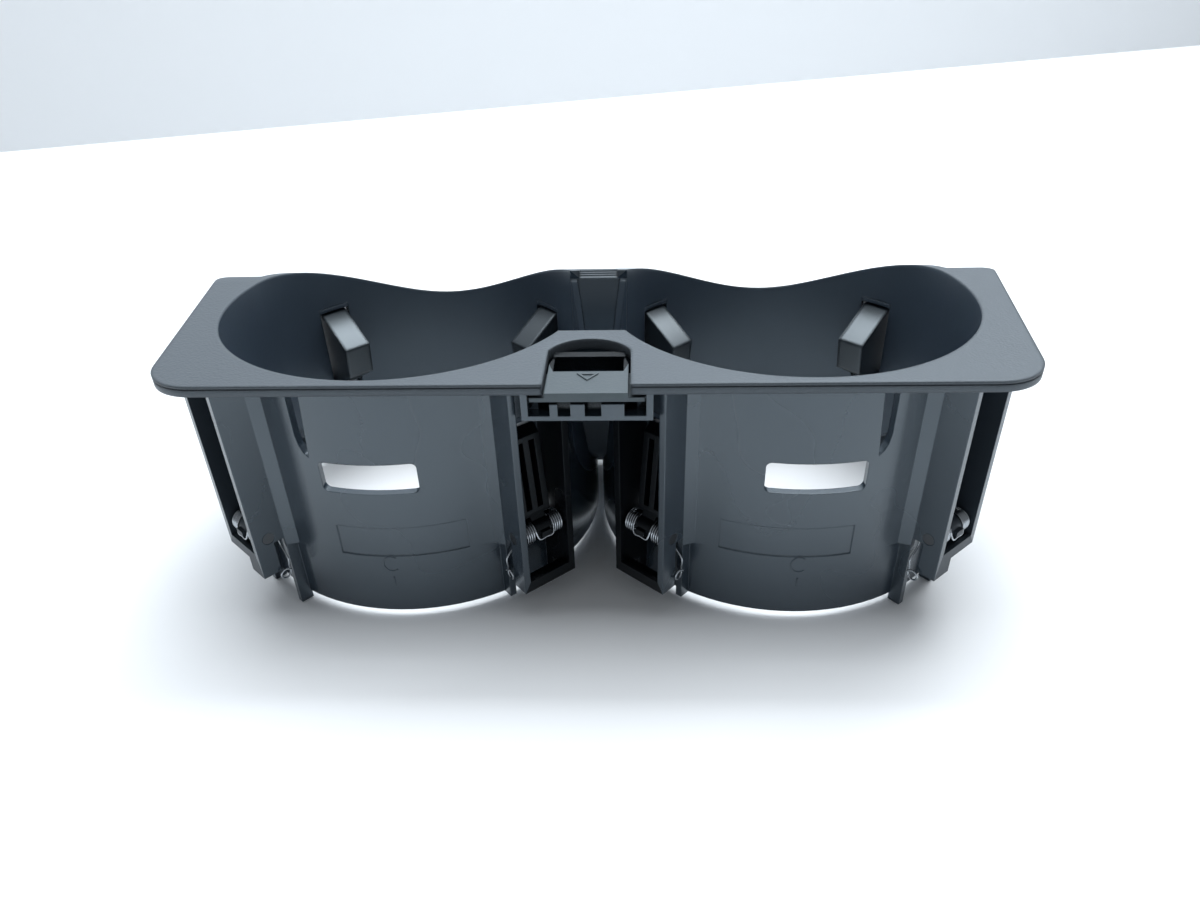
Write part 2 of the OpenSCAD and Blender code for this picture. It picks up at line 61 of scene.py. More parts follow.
# %% Sizes shared with the CAD model
WELL_X = 43.0
WELL_Y = 42.8
WELL_R = 40.6
WALL = 1.7
LIP_W = 1.2
LATCH_REACH = 1.0
ROW_Y = (LATCH_REACH - (WELL_Y + WELL_R + WALL + LIP_W)) / 2
TOP_Z = 58.0
FLANGE_T = 2.2
CROWN_Y = 54.0
CROWN_R = 37.5
PIVOT_U = 47.6
PIVOT_Z = 20.2
WELL_OUTER = WELL_R + WALL
CHANNEL_HALF = 5.2
print("the wells' axes lie at X", WELL_X, "and Y", round(WELL_Y + ROW_Y, 2), "mm")

# %% [markdown]
# ## Eight channels
# Each arm hangs in a channel on its well's wall. A channel has its own frame, with u pointing out
# of its well, t across the channel and z up, so one description serves all eight of them.

# %% Where the channels are
ARMS = {
    "left_front_outer": (-1, 229.0),
    "left_front_inner": (-1, 311.0),
    "left_rear_outer": (-1, 135.0),
    "left_rear_inner": (-1, 45.0),
    "right_front_outer": (1, 311.0),
    "right_front_inner": (1, 229.0),
    "right_rear_outer": (1, 45.0),
    "right_rear_inner": (1, 135.0),
}


def channel_frame(name):
    """Side of the part, azimuth of u in radians, and 1 or -1 for the way t runs: it grows to the
    side where the spring's loop comes out, the front side at the front of the part and the rear
    side at the rear."""
    side, azimuth = ARMS[name]
    a = np.radians(azimuth)
    return side, a, np.sign(np.cos(a)) * (-1 if "front" in name else 1)


def channel_points(name, local):
    """Points (u, t, z) of one channel, in mm, as points of the CAD frame in metres."""
    side, a, loop_side = channel_frame(name)
    u, t, z = np.asarray(local, float).T
    t = t * loop_side
    x = side * WELL_X + u * np.cos(a) - t * np.sin(a)
    y = WELL_Y + ROW_Y + u * np.sin(a) + t * np.cos(a)
    return np.stack([x, y, z], axis=1) * MM


print("channels:", len(ARMS))

# %% [markdown]
# ## Colours and shader nodes
# A colour is written as the sRGB hex value that a painter would pick, and one function turns it
# into the linear light that the renderer works with. A second function adds a shader node with
# its settings and links, so that each material below reads like a short recipe, and a third turns
# the real size of a pattern into its scale.

# %% Three small helpers for materials
def linear(code):
    """Linear red, green, blue and alpha of an sRGB hex value such as #808080."""
    srgb = np.array([int(code[i : i + 2], 16) for i in (1, 3, 5)]) / 255.0
    light = np.where(srgb <= 0.04045, srgb / 12.92, ((srgb + 0.055) / 1.055) ** 2.4)
    return (*light.tolist(), 1.0)


def add_node(tree, kind, settings=None, inputs=None):
    """Adds a node, sets its properties, and fills or links its input sockets."""
    node = tree.nodes.new(kind)
    for name, value in (settings or {}).items():
        setattr(node, name, value)
    for name, value in (inputs or {}).items():
        socket = node.inputs[name]
        if isinstance(value, bpy.types.NodeSocket):
            tree.links.new(value, socket)
        else:
            socket.default_value = value
    return node


def per_metre(size_mm):
    """Scale of a pattern whose cells are size_mm across, on coordinates in metres."""
    return 1.0 / (size_mm * MM)


print("half grey as linear light:", round(linear("#808080")[0], 3))

# %% [markdown]
# ## Moulded plastic
# The insert is black ABS. Where the mould was spark eroded the surface is a fine matt grain, and
# where it was polished the same plastic is satin or nearly glossy. One recipe covers them all:
# two close tones of charcoal, cells of grain as bump, and a slow change of roughness like that
# of a part that has been handled. Real grain is about 0.15 mm, too fine to show here, so it is
# drawn at the coarser size that each finish gives. The Bevel node rounds the shading of every hard
# edge by up to 1.2 mm, as a mould does, and that thin line is what catches light.

# %% A recipe for moulded plastic
CLOUD_MM = 22.0
SPECK_MM = 1.1
SHEEN_SWING = 0.08
ABS_IOR = 1.53
SHINE_TINT = "#e6f3fb"


def moulded_abs(name, tone, dark_tone, roughness, grain_mm, grain_depth_mm, shine, round_mm):
    """Black ABS: base tone, slow tone change, roughness range and grain bump on rounded edges.
    Shine is the shader's specular level, which is 0.5 for a dry plastic and more when wiped."""
    material = bpy.data.materials.new(name)
    material.use_nodes = True
    tree = material.node_tree
    tree.nodes.clear()
    place = add_node(tree, "ShaderNodeTexCoord").outputs["Object"]
    cloud = add_node(tree, "ShaderNodeTexNoise", None,
                     {"Vector": place, "Scale": per_metre(CLOUD_MM), "Detail": 1.0})
    speck = add_node(tree, "ShaderNodeTexNoise", None,
                     {"Vector": place, "Scale": per_metre(SPECK_MM), "Detail": 2.0,
                      "Roughness": 0.6})
    tones = add_node(tree, "ShaderNodeMix", {"data_type": "RGBA"},
                     {"Factor": cloud.outputs["Fac"], "A": linear(dark_tone), "B": linear(tone)})
    sheen = add_node(tree, "ShaderNodeMapRange", None,
                     {"Value": cloud.outputs["Fac"], "To Min": roughness - SHEEN_SWING,
                      "To Max": roughness + SHEEN_SWING})
    cells = add_node(tree, "ShaderNodeTexVoronoi", {"feature": "SMOOTH_F1"},
                     {"Vector": place, "Scale": per_metre(grain_mm), "Smoothness": 0.6})
    relief = add_node(tree, "ShaderNodeMath", {"operation": "ADD"},
                      {0: cells.outputs["Distance"], 1: speck.outputs["Fac"]})
    edge = add_node(tree, "ShaderNodeBevel", {"samples": 6}, {"Radius": round_mm * MM})
    bump = add_node(tree, "ShaderNodeBump", None,
                    {"Strength": 1.0, "Distance": grain_depth_mm * MM,
                     "Height": relief.outputs["Value"], "Normal": edge.outputs["Normal"]})
    shader = add_node(tree, "ShaderNodeBsdfPrincipled", None,
                      {"Base Color": tones.outputs[2], "Roughness": sheen.outputs["Result"],
                       "Normal": bump.outputs["Normal"], "IOR": ABS_IOR,
                       "Specular IOR Level": shine, "Specular Tint": linear(SHINE_TINT)})
    add_node(tree, "ShaderNodeOutputMaterial", None, {"Surface": shader.outputs["BSDF"]})
    return material


# %% [markdown]
# ## Seven finishes of one plastic, two with painted light and shade
# The tones differ although the plastic is the same, because a matt surface scatters light that a
# smooth one throws on. The channel linings also carry painted light and shade: the outer ones a
# tone raised as painted light, the two beside the latch a near-black painted shade.

# %% The seven finishes, two with painted light and shade
# Spark-eroded grain on the flange: pale, with broad soft highlights.
GRAINED = moulded_abs("abs_fine_grain", "#4b5157", "#444a50", roughness=0.5, grain_mm=0.55,
                      grain_depth_mm=0.045, shine=0.55, round_mm=1.0)
# Satin inside the wells: an even dark blue-grey with a wide sheen.
WELL_SATIN = moulded_abs("abs_satin", "#37424e", "#313b46", roughness=0.36, grain_mm=0.8,
                         grain_depth_mm=0.008, shine=0.7, round_mm=0.9)
# Smooth outer walls: the room shows in them as long soft stripes.
WALL_SMOOTH = moulded_abs("abs_smooth", "#28313a", "#262f38", roughness=0.26, grain_mm=1.2,
                          grain_depth_mm=0.005, shine=1.0, round_mm=0.3)
# Arms rubbed by cups: nearly black, with a clear shine along their rounded edges.
ARM_GLOSS = moulded_abs("abs_polished", "#1b2127", "#161b20", roughness=0.34, grain_mm=1.4,
                        grain_depth_mm=0.004, shine=0.75, round_mm=1.2)
# The latch: satin, as light as the flange beside it.
LATCH_SATIN = moulded_abs("abs_latch_satin", "#474f54", "#40484c", roughness=0.42, grain_mm=0.6,
                          grain_depth_mm=0.02, shine=0.55, round_mm=0.2)
# Channel linings: dull, because a mould can't be polished that deep, with a lighter tone that is
# painted light for the outer channels, which the lamps leave dim.
LINING_MATT_AND_PAINTED_LIGHT = moulded_abs("abs_channel_matt_painted_light", "#282f37", "#22282f", roughness=0.45, grain_mm=0.9,
                           grain_depth_mm=0.006, shine=0.4, round_mm=0.15)
# Linings beside the latch: almost black, a painted shade for the little light that comes in there.
LINING_PAINTED_SHADE = moulded_abs("abs_channel_painted_shade", "#090c10", "#07090c", roughness=0.28, grain_mm=0.9,
                           grain_depth_mm=0.004, shine=0.2, round_mm=0.2)
PLASTICS = (GRAINED, WELL_SATIN, WALL_SMOOTH, ARM_GLOSS, LATCH_SATIN, LINING_MATT_AND_PAINTED_LIGHT, LINING_PAINTED_SHADE)
print("plastics:", [m.name for m in PLASTICS])

# %% [markdown]
# ## Steel
# The springs are drawn music wire and the pins are ground rod with a dark oxide. Drawing leaves
# fine lines along a wire, which at this size only break up the highlight, so a fine noise changes
# the roughness a little and nothing more. The wire flashes in thin lines, the pins stay dull.

# %% Steel finishes
DRAWING_MM = 0.5
DRAWING_SWING = 0.03
NOISE_LOW, NOISE_HIGH = 0.3, 0.7


def drawn_steel(name, tone, roughness):
    """Bare steel: metallic, with fine noise in its roughness from drawing."""
    material = bpy.data.materials.new(name)
    material.use_nodes = True
    tree = material.node_tree
    tree.nodes.clear()
    place = add_node(tree, "ShaderNodeTexCoord").outputs["Object"]
    lines = add_node(tree, "ShaderNodeTexNoise", None,
                     {"Vector": place, "Scale": per_metre(DRAWING_MM), "Detail": 2.0})
    sheen = add_node(tree, "ShaderNodeMapRange", None,
                     {"Value": lines.outputs["Fac"], "From Min": NOISE_LOW,
                      "From Max": NOISE_HIGH, "To Min": roughness - DRAWING_SWING,
                      "To Max": roughness + DRAWING_SWING})
    shader = add_node(tree, "ShaderNodeBsdfPrincipled", None,
                      {"Base Color": linear(tone), "Metallic": 1.0,
                       "Roughness": sheen.outputs["Result"]})
    add_node(tree, "ShaderNodeOutputMaterial", None, {"Surface": shader.outputs["BSDF"]})
    return material


WIRE_STEEL = drawn_steel("music_wire", "#a6abb0", 0.24)
PIN_STEEL = drawn_steel("oxide_steel_pin", "#5a5d60", 0.38)
print("steels:", [m.name for m in (WIRE_STEEL, PIN_STEEL)])

# %% [markdown]
# ## A clean copy of a hard solid
# The CAD mesh is loose triangles, so a copy is merged at its shared corners. Edges where the
# surface turns sharply are kept hard and all others are shaded smooth, so a round wall looks
# round. The thin round that every mould leaves on an edge is made by the materials.

# %% A merged copy
MERGE_M = 2e-6
SLIVER_M = 1e-7
HARD_DEG = 25.0


def merged_copy(node, name, body):
    """Copy of a CAD node with shared corners, smooth faces and hard edges above HARD_DEG."""
    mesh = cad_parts[node].data.copy()
    mesh.name = name
    work = bmesh.new()
    work.from_mesh(mesh)
    bmesh.ops.remove_doubles(work, verts=work.verts, dist=MERGE_M)
    bmesh.ops.dissolve_degenerate(work, dist=SLIVER_M, edges=work.edges)
    hard = float(np.radians(HARD_DEG))
    for edge in work.edges:
        edge.smooth = len(edge.link_faces) == 2 and edge.calc_face_angle(0.0) < hard
    for face in work.faces:
        face.smooth = True
    work.to_mesh(mesh)
    work.free()
    piece = bpy.data.objects.new(name, mesh)
    scene.collection.objects.link(piece)
    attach(piece, body)
    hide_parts(node)
    print(name, len(mesh.polygons), "faces")
    return piece


def face_places(mesh):
    """Centres and normals of all faces, the centres in millimetres."""
    count = len(mesh.polygons)
    centres, normals = np.empty(count * 3), np.empty(count * 3)
    mesh.polygons.foreach_get("center", centres)
    mesh.polygons.foreach_get("normal", normals)
    return centres.reshape(-1, 3) / MM, normals.reshape(-1, 3)


# %% [markdown]
# ## The housing
# One moulding has five finishes: grain on top of the flange, satin inside the wells, smooth walls
# outside, a dull lining inside the channels, where the mould could not be polished, whose tone is
# also painted light, and a near-black painted shade in the two channels beside the latch. Each face
# is sorted by where its centre lies. The top skin follows the flat flange and then the round crown
# at the rear, and the wells are all points near their two axes.

# %% Faces of the top skin and of the wells
WELL_SLACK = 0.15
SKIN_SLACK = 0.02
FACES_DOWN = -0.5

housing = merged_copy("housing", "housing_moulding", "housing")
centres, normals = face_places(housing.data)
across = np.abs(centres[:, 0]) - WELL_X
back = centres[:, 1] - ROW_Y - WELL_Y
in_well = np.hypot(across, back) < WELL_R + WELL_SLACK
crown_back = centres[:, 1] - ROW_Y - CROWN_Y
crown_up = centres[:, 2] - (TOP_Z - CROWN_R)
depth_in_skin = np.where(crown_back > 0, CROWN_R - np.hypot(crown_back, crown_up),
                         TOP_Z - centres[:, 2])
in_skin = depth_in_skin < FLANGE_T - SKIN_SLACK
on_top = in_skin & (normals[:, 2] > FACES_DOWN) & ~in_well
print("faces on top:", int(on_top.sum()), "and in the wells:", int(in_well.sum()))

# %% Faces of the channels, and the five finishes, the linings with painted light and shade
INNER_FRONT = ("left_front_inner", "right_front_inner")
SHADE_FAR_WALL = 7.0
SIDE_SLACK = 0.05
LINING_REACH = 4.0
LINING_TOP = TOP_Z - FLANGE_T + 0.1
TOP, SATIN, SMOOTH, MATT_AND_PAINTED_LIGHT, PAINTED_SHADE = range(5)


def channel_place(name, centres_mm):
    """Channel coordinates (u, t) of points of the CAD frame, all in millimetres."""
    side, a, loop_side = channel_frame(name)
    x, y = centres_mm[:, 0] - side * WELL_X, centres_mm[:, 1] - WELL_Y - ROW_Y
    return x * np.cos(a) + y * np.sin(a), loop_side * (y * np.cos(a) - x * np.sin(a))


def lines_channel(name):
    """True for the faces between a channel's side walls that lie outside its well's wall and
    under the flange. Beside the latch the far side wall is taken along, so the painted shade covers
    it too."""
    u, t = channel_place(name, centres)
    far_wall = SHADE_FAR_WALL if name in INNER_FRONT else CHANNEL_HALF
    between = (t < CHANNEL_HALF + SIDE_SLACK) & (t > -far_wall - SIDE_SLACK)
    reach = (u > WELL_OUTER + SIDE_SLACK) & (u < PIVOT_U + LINING_REACH)
    return between & reach & (centres[:, 2] < LINING_TOP) & ~on_top


finish = np.where(on_top, TOP, np.where(in_well, SATIN, SMOOTH)).astype(np.int32)
# The linings beside the latch get a near-black painted shade, the others a matt tone that is partly
# painted light.
for name in ARMS:
    finish[lines_channel(name)] = PAINTED_SHADE if name in INNER_FRONT else MATT_AND_PAINTED_LIGHT
housing.data.materials.clear()
for material in (GRAINED, WELL_SATIN, WALL_SMOOTH, LINING_MATT_AND_PAINTED_LIGHT, LINING_PAINTED_SHADE):
    housing.data.materials.append(material)
housing.data.polygons.foreach_set("material_index", finish)
print("faces per finish:", np.bincount(finish).tolist())

# %% [markdown]
# ## Arms and latch
# The arms are separate mouldings. Their tips shine, because cups rub past them, and their backs
# in the channels take the lining's tone: dull and partly painted light, and a near-black painted
# shade beside the latch. The latch is satin, with its arrow and grip edge, and its finger recess is
# painted with shade. The pins keep their CAD shape and get their steel.

# %% Arms and pins
ARM_BACK_U = WELL_R + 0.8


def one_finish(piece, material):
    """Gives a whole piece one material."""
    piece.data.materials.clear()
    piece.data.materials.append(material)
    return piece


for name in ARMS:
    arm = merged_copy(f"arm_{name}", f"arm_{name}_moulding", f"arm_{name}")
    # The arm's back takes its lining's material: painted shade beside the latch, elsewhere a matt
    # tone that is partly painted light.
    behind = LINING_PAINTED_SHADE if name in INNER_FRONT else LINING_MATT_AND_PAINTED_LIGHT
    one_finish(arm, ARM_GLOSS).data.materials.append(behind)
    u = channel_place(name, face_places(arm.data)[0])[0]
    arm.data.polygons.foreach_set("material_index", (u > ARM_BACK_U).astype(np.int32))
    one_finish(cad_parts[f"pin_{name}"], PIN_STEEL)
print("arms and pins:", len(ARMS))

# %% Latch
RECESS_Y = 8.0 + ROW_Y
RECESS_Z = 57.3
latch = merged_copy("latch", "latch_moulding", "latch")
one_finish(latch, LATCH_SATIN).data.materials.append(LINING_PAINTED_SHADE)
places = face_places(latch.data)[0]
# Faces deep in the finger recess get a near-black painted shade.
recess_painted_shade = (places[:, 1] > RECESS_Y) & (places[:, 2] < RECESS_Z)
latch.data.polygons.foreach_set("material_index", recess_painted_shade.astype(np.int32))
print("latch faces in its recess:", int(recess_painted_shade.sum()))

# %% [markdown]
# ## Round wire
# A spring is a circle carried along a path. The path is a list of points, smoothed by a
# Catmull-Rom curve, and the circle stands across the path at every point. A reference direction
# that the wire never quite follows keeps the circle from twisting, so the whole tube is one array
# sum. For most wires it is the second axis of their frame.

# %% A tube along a smoothed path
ACROSS_AXIS = np.array([0.0, 1.0, 0.0])


def smoothed(points, steps):
    """Catmull-Rom curve through the points: on each span, the cubic whose slope at a point is
    half the step between the points before and after it."""
    p = np.asarray(points, float)
    ends = np.concatenate([[2 * p[0] - p[1]], p, [2 * p[-1] - p[-2]]])
    a, b, c, d = ends[:-3], ends[1:-2], ends[2:-1], ends[3:]
    s = np.linspace(0, 1, steps, endpoint=False)[None, :, None]
    a, b, c, d = (q[:, None, :] for q in (a, b, c, d))
    curve = 0.5 * (2 * b + (c - a) * s + (2 * a - 5 * b + 4 * c - d) * s**2
                   + (3 * b - a - 3 * c + d) * s**3)
    return np.concatenate([curve.reshape(-1, 3), p[-1:]])


def tube_grid(path, radius, reference, sides=12):
    """Point (i, k) is path point i plus radius times the direction at angle 2 pi k / sides in
    the plane across the path, measured from the cross product of path and reference."""
    along = np.gradient(path, axis=0)
    along /= np.linalg.norm(along, axis=1, keepdims=True)
    first = np.cross(along, reference)
    first /= np.linalg.norm(first, axis=1, keepdims=True)
    second = np.cross(along, first)
    angle = np.arange(sides) * 2 * np.pi / sides
    return (path[:, None, :] + radius * (np.cos(angle)[None, :, None] * first[:, None, :]
                                         + np.sin(angle)[None, :, None] * second[:, None, :]))


def grid_faces(rows, columns):
    """Quads of a grid that closes round its columns, and a cap at each end."""
    i, k = np.meshgrid(np.arange(rows - 1), np.arange(columns), indexing="ij")
    n = (k + 1) % columns
    quads = np.stack([i * columns + k, i * columns + n, (i + 1) * columns + n,
                      (i + 1) * columns + k], axis=-1).reshape(-1, 4)
    first = list(range(columns))
    last = [(rows - 1) * columns + k for k in range(columns)]
    return quads.tolist() + [first[::-1], last]


print("faces of a tube of 10 rings:", len(grid_faces(10, 12)))

# %% Adding a piece
TURN_DEG = 50.0


def add_piece(name, points, faces, material, body):
    """Mesh piece from points of the CAD frame in metres, with its faces turned outwards and its
    sharp turns kept hard."""
    mesh = bpy.data.meshes.new(name)
    mesh.from_pydata(np.asarray(points).reshape(-1, 3).tolist(), [], faces)
    work = bmesh.new()
    work.from_mesh(mesh)
    bmesh.ops.recalc_face_normals(work, faces=work.faces)
    turn = float(np.radians(TURN_DEG))
    for edge in work.edges:
        edge.smooth = edge.calc_face_angle(0.0) < turn
    work.to_mesh(mesh)
    work.free()
    mesh.polygons.foreach_set("use_smooth", [True] * len(mesh.polygons))
    mesh.materials.append(material)
    piece = bpy.data.objects.new(name, mesh)
    scene.collection.objects.link(piece)
    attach(piece, body)
    return piece


def wire_piece(name, arm, path, radius, reference, body):
    """Round wire through the given points of an arm's channel."""
    grid = tube_grid(smoothed(path, steps=3), radius, np.asarray(reference, float))
    points = channel_points(arm, grid.reshape(-1, 3))
    return add_piece(name, points, grid_faces(*grid.shape[:2]), WIRE_STEEL, body)


print("new pieces keep turns over", TURN_DEG, "degrees hard")

# %% [markdown]
# ## Double torsion springs
# Each arm is pushed in by a spring with a coil on each side of its hub. A bridge of wire crosses
# behind the hub and presses on it, and one leg comes out through the channel's side wall and ends
# in a loop. The coils and legs stay with the housing. The bridge swings with the arm, and keeps
# a short arc of coil on each side, so that it still meets the coils when it has turned. Angles
# are measured about the pin, from straight out of the well.

# %% Sizes of the springs
WIRE_R = 0.22
COIL_R = 2.35
HUB_HALF = 1.8
LEG_ANGLE = 171.4
BRIDGE_ANGLE = 17.0
TURNS = 4
PITCH = 0.55
SWEEP = 360.0 * TURNS + LEG_ANGLE - BRIDGE_ANGLE
END_ANGLE = LEG_ANGLE - SWEEP
HUB_GAP = 0.2
COIL_IN_T = HUB_HALF + HUB_GAP + WIRE_R
COIL_OUT_T = COIL_IN_T + PITCH * SWEEP / 360.0
LEG_OFF = 2.7
LEG_U = WELL_OUTER + LEG_OFF
SIDE_WALL = 1.5
LEG_GAP = 0.15
LEG_OUT_T = CHANNEL_HALF + SIDE_WALL + WIRE_R + LEG_GAP
LEG_DROP, LEG_STEP = 1.2, 1.8
LOOP_R = 1.2
LOOP_DROP = 10.0
LOOP_Z = PIVOT_Z - LOOP_DROP
LOOP_START, LOOP_TURN = 180, 330
LOOP_RISE = 0.65
LOOP_POINTS = 19
BRIDGE_L = 1.78
SWING_DEG = 25.0
print("a spring is", round(2 * COIL_OUT_T, 1), "mm wide over", round(SWEEP), "degrees a side")

# %% Paths of the wire
def coil(side, from_angle, to_angle, count):
    """Helix about the pin: u and z turn on a circle of COIL_R while t moves from the outer end
    of the coil to the inner one in step with the angle."""
    angle = np.linspace(from_angle, to_angle, count)
    share = (LEG_ANGLE - angle) / SWEEP
    t = side * (COIL_OUT_T + (COIL_IN_T - COIL_OUT_T) * share)
    a = np.radians(angle)
    return np.stack([PIVOT_U + COIL_R * np.cos(a), t, PIVOT_Z + COIL_R * np.sin(a)], axis=1)


def leg_z(step):
    """Height of a leg's points, which go down in equal steps from just below the pin."""
    return PIVOT_Z - LEG_DROP - LEG_STEP * step


def looped_leg():
    """Ring of the loop, then the leg through the side wall up to the start of the coil."""
    share = np.linspace(1, 0, LOOP_POINTS)
    a = np.radians(LOOP_START + LOOP_TURN * share)
    ring = np.stack([LEG_U + LOOP_R + LOOP_R * np.cos(a), LEG_OUT_T + LOOP_RISE * share,
                     LOOP_Z + LOOP_R * np.sin(a)], axis=1)
    leg = np.array([
        [LEG_U, LEG_OUT_T, leg_z(4)], [LEG_U - 0.1, LEG_OUT_T, leg_z(3)],
        [LEG_U - 0.1, CHANNEL_HALF, leg_z(2)], [LEG_U - 0.05, COIL_OUT_T, leg_z(1)],
        [LEG_U + 0.1, COIL_OUT_T, leg_z(0)]])
    return np.concatenate([ring, leg])


def plain_leg():
    """Straight leg that rests on the well's wall inside the channel."""
    return np.array([
        [LEG_U + 0.1, -COIL_OUT_T, leg_z(0)], [LEG_U - 0.05, -COIL_OUT_T, leg_z(1)],
        [LEG_U - 0.3, -COIL_OUT_T, leg_z(2.5)]])


print("points of a looped leg:", len(looped_leg()))

# %% Coils, legs and bridges
STEP_DEG = 18
OVERLAP_DEG = 12
BAR_TUCK = 0.5
BRIDGE_WIRE_R = WIRE_R * 1.02
steps = int(SWEEP / STEP_DEG)
bridge_a = np.radians(BRIDGE_ANGLE)
bar_u = PIVOT_U + COIL_R * np.cos(bridge_a) + BRIDGE_L * np.sin(bridge_a)
bar_z = PIVOT_Z + COIL_R * np.sin(bridge_a) - BRIDGE_L * np.cos(bridge_a)
for name in ARMS:
    near = np.concatenate([looped_leg(), coil(1, LEG_ANGLE, END_ANGLE, steps)])
    far = np.concatenate([coil(-1, END_ANGLE, LEG_ANGLE, steps), plain_leg()])
    tubes = [tube_grid(smoothed(p, steps=2), WIRE_R, ACROSS_AXIS) for p in (near, far)]
    points, faces = [], []
    for grid in tubes:
        shift = sum(len(p) for p in points)
        points.append(channel_points(name, grid.reshape(-1, 3)))
        faces += [[shift + v for v in face] for face in grid_faces(*grid.shape[:2])]
    springs = add_piece(f"spring_{name}_coils", np.concatenate(points), faces, WIRE_STEEL,
                        "housing")
    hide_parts(f"spring_{name}")
    arc = coil(1, END_ANGLE + SWING_DEG + OVERLAP_DEG, END_ANGLE, count=6)
    bar = np.array([[bar_u, COIL_IN_T - BAR_TUCK, bar_z], [bar_u, 0.0, bar_z],
                    [bar_u, BAR_TUCK - COIL_IN_T, bar_z]])
    bridge = np.concatenate([arc, bar, (arc * [1, -1, 1])[::-1]])
    wire_piece(f"spring_{name}_bridge", name, bridge, BRIDGE_WIRE_R,
               [np.cos(bridge_a), 0.0, np.sin(bridge_a)], f"arm_{name}")
print("springs:", len(ARMS), "with", steps, "points a coil")

# %% [markdown]
# ## The latch's spring
# A small compression spring lies between the tray's front plate and a lug under the latch. The
# latch presses it together as it slides to the front: its length at rest is 5.3 mm, and 2.2 mm are
# left when the latch has moved its 3 mm. The piece here is drawn at rest and stays with the
# housing.

# %% The latch's spring at rest
LATCH_COIL = {"x": -1.75, "z": 52.65, "radius": 0.95, "front": 1.43, "rear": 6.37, "turns": 4}
LATCH_WIRE_R = 0.17
RINGS_PER_TURN = 16
share = np.linspace(0, 1, RINGS_PER_TURN * LATCH_COIL["turns"] + 1)
a = 2 * np.pi * LATCH_COIL["turns"] * share
helix = np.stack([
    LATCH_COIL["x"] + LATCH_COIL["radius"] * np.cos(a),
    ROW_Y + LATCH_COIL["front"] + (LATCH_COIL["rear"] - LATCH_COIL["front"]) * share,
    LATCH_COIL["z"] + LATCH_COIL["radius"] * np.sin(a)], axis=1)
grid = tube_grid(helix, LATCH_WIRE_R, ACROSS_AXIS, sides=10)
latch_coil = add_piece("latch_spring_wire", grid * MM, grid_faces(*grid.shape[:2]), WIRE_STEEL,
                       "housing")
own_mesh(latch_coil)
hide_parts("latch_spring")
print("latch spring turns:", LATCH_COIL["turns"])

# %% [markdown]
# ## The saddle between the wells
# Between the two wells the moulding closes in a narrow trough: a thin skin whose sides lean in and
# whose floor is round. The CAD model leaves a wider U-shaped gap there, so the skin and the bits of
# well wall beside it are made here. Seen from the side, each is a band between two outlines, and
# every point of a well's wall lies on that well's cylinder.

# %% Outlines of the trough and of the gap
NECK_HALF = 18.7
NECK_Z = 14.4
NECK_U_Z = NECK_Z + NECK_HALF
TROUGH_R = 9.8
TROUGH_T = 2.0
TROUGH_Z = 28.4
TROUGH_TOP = 55.2
SKIN_TUCK = 0.3
FLOOR_POINTS, LEAN_POINTS, BAND_POINTS = 41, 9, 9


def trough_outline(grow, count):
    """Points (y, z) beside the middle of the wells: a line that leans in and touches the round
    floor at the angle where the line from its top end is tangent, the floor, and the line back."""
    r, half, rise = TROUGH_R + grow, NECK_HALF + grow, TROUGH_TOP - TROUGH_Z
    touch = np.pi - np.arctan2(rise, half) + np.arccos(r / np.hypot(half, rise))
    a = np.linspace(touch, 3 * np.pi - touch, count)
    floor = np.stack([r * np.cos(a), TROUGH_Z + r * np.sin(a)], axis=1)
    top = np.array([-half, TROUGH_TOP])
    lean = top + (floor[0] - top) * np.linspace(0, 1, LEAN_POINTS)[:-1, None]
    return np.concatenate([lean, floor, lean[::-1] * [-1, 1]])


def gap_outline(points):
    """Where the CAD model's gap ends: level with each point on its straight sides, and straight
    out from the centre on its round floor."""
    y, z = points.T
    low = z < NECK_U_Z
    reach = np.hypot(y, z - NECK_U_Z)
    return np.stack([np.where(low, y / reach, np.sign(y)) * NECK_HALF,
                     np.where(low, NECK_U_Z + (z - NECK_U_Z) / reach * NECK_HALF, z)], axis=1)


def wall_x(radius, y):
    """Distance from the middle plane to a well's cylinder at y beside the well's axis."""
    return WELL_X - np.sqrt(radius**2 - y**2)


inside = trough_outline(0.0, FLOOR_POINTS)
below = trough_outline(TROUGH_T, FLOOR_POINTS)
print("trough from height", round(float(below[:, 1].min()), 1), "to", TROUGH_TOP, "mm")

# %% Trough and wall pieces
edges = [(wall_x(WELL_OUTER, line[:, 0]) + SKIN_TUCK, line) for line in (inside, below)]
skin = np.stack([np.stack([sign * x, line[:, 0] + WELL_Y + ROW_Y, line[:, 1]], axis=1)
                 for (x, line), signs in zip(edges, ((-1, 1), (1, -1))) for sign in signs], axis=1)
add_piece("neck_trough", skin * MM, grid_faces(len(inside), 4), WALL_SMOOTH, "housing")
share = np.linspace(0, 1, BAND_POINTS)[None, :, None]
band = inside[:, None, :] * (1 - share) + gap_outline(inside)[:, None, :] * share
for side, word in ((-1, "left"), (1, "right")):
    layers = [np.stack([side * wall_x(radius, band[..., 0]), band[..., 0] + WELL_Y + ROW_Y,
                        band[..., 1]], axis=-1) for radius in (WELL_OUTER, WELL_R)]
    ring = np.concatenate([layers[0], layers[1][:, ::-1]], axis=1)
    add_piece(f"{word}_neck_wall", ring * MM, grid_faces(*ring.shape[:2]), WELL_SATIN, "housing")
print("points in the trough's skin:", skin.shape[0] * skin.shape[1])

# %% [markdown]
# ## Lintels over the arms
# The slot of each arm ends just above the arm's root. A short curved strip in the well's wall
# narrows the CAD model's slot there, and still clears the root when the arm swings out.

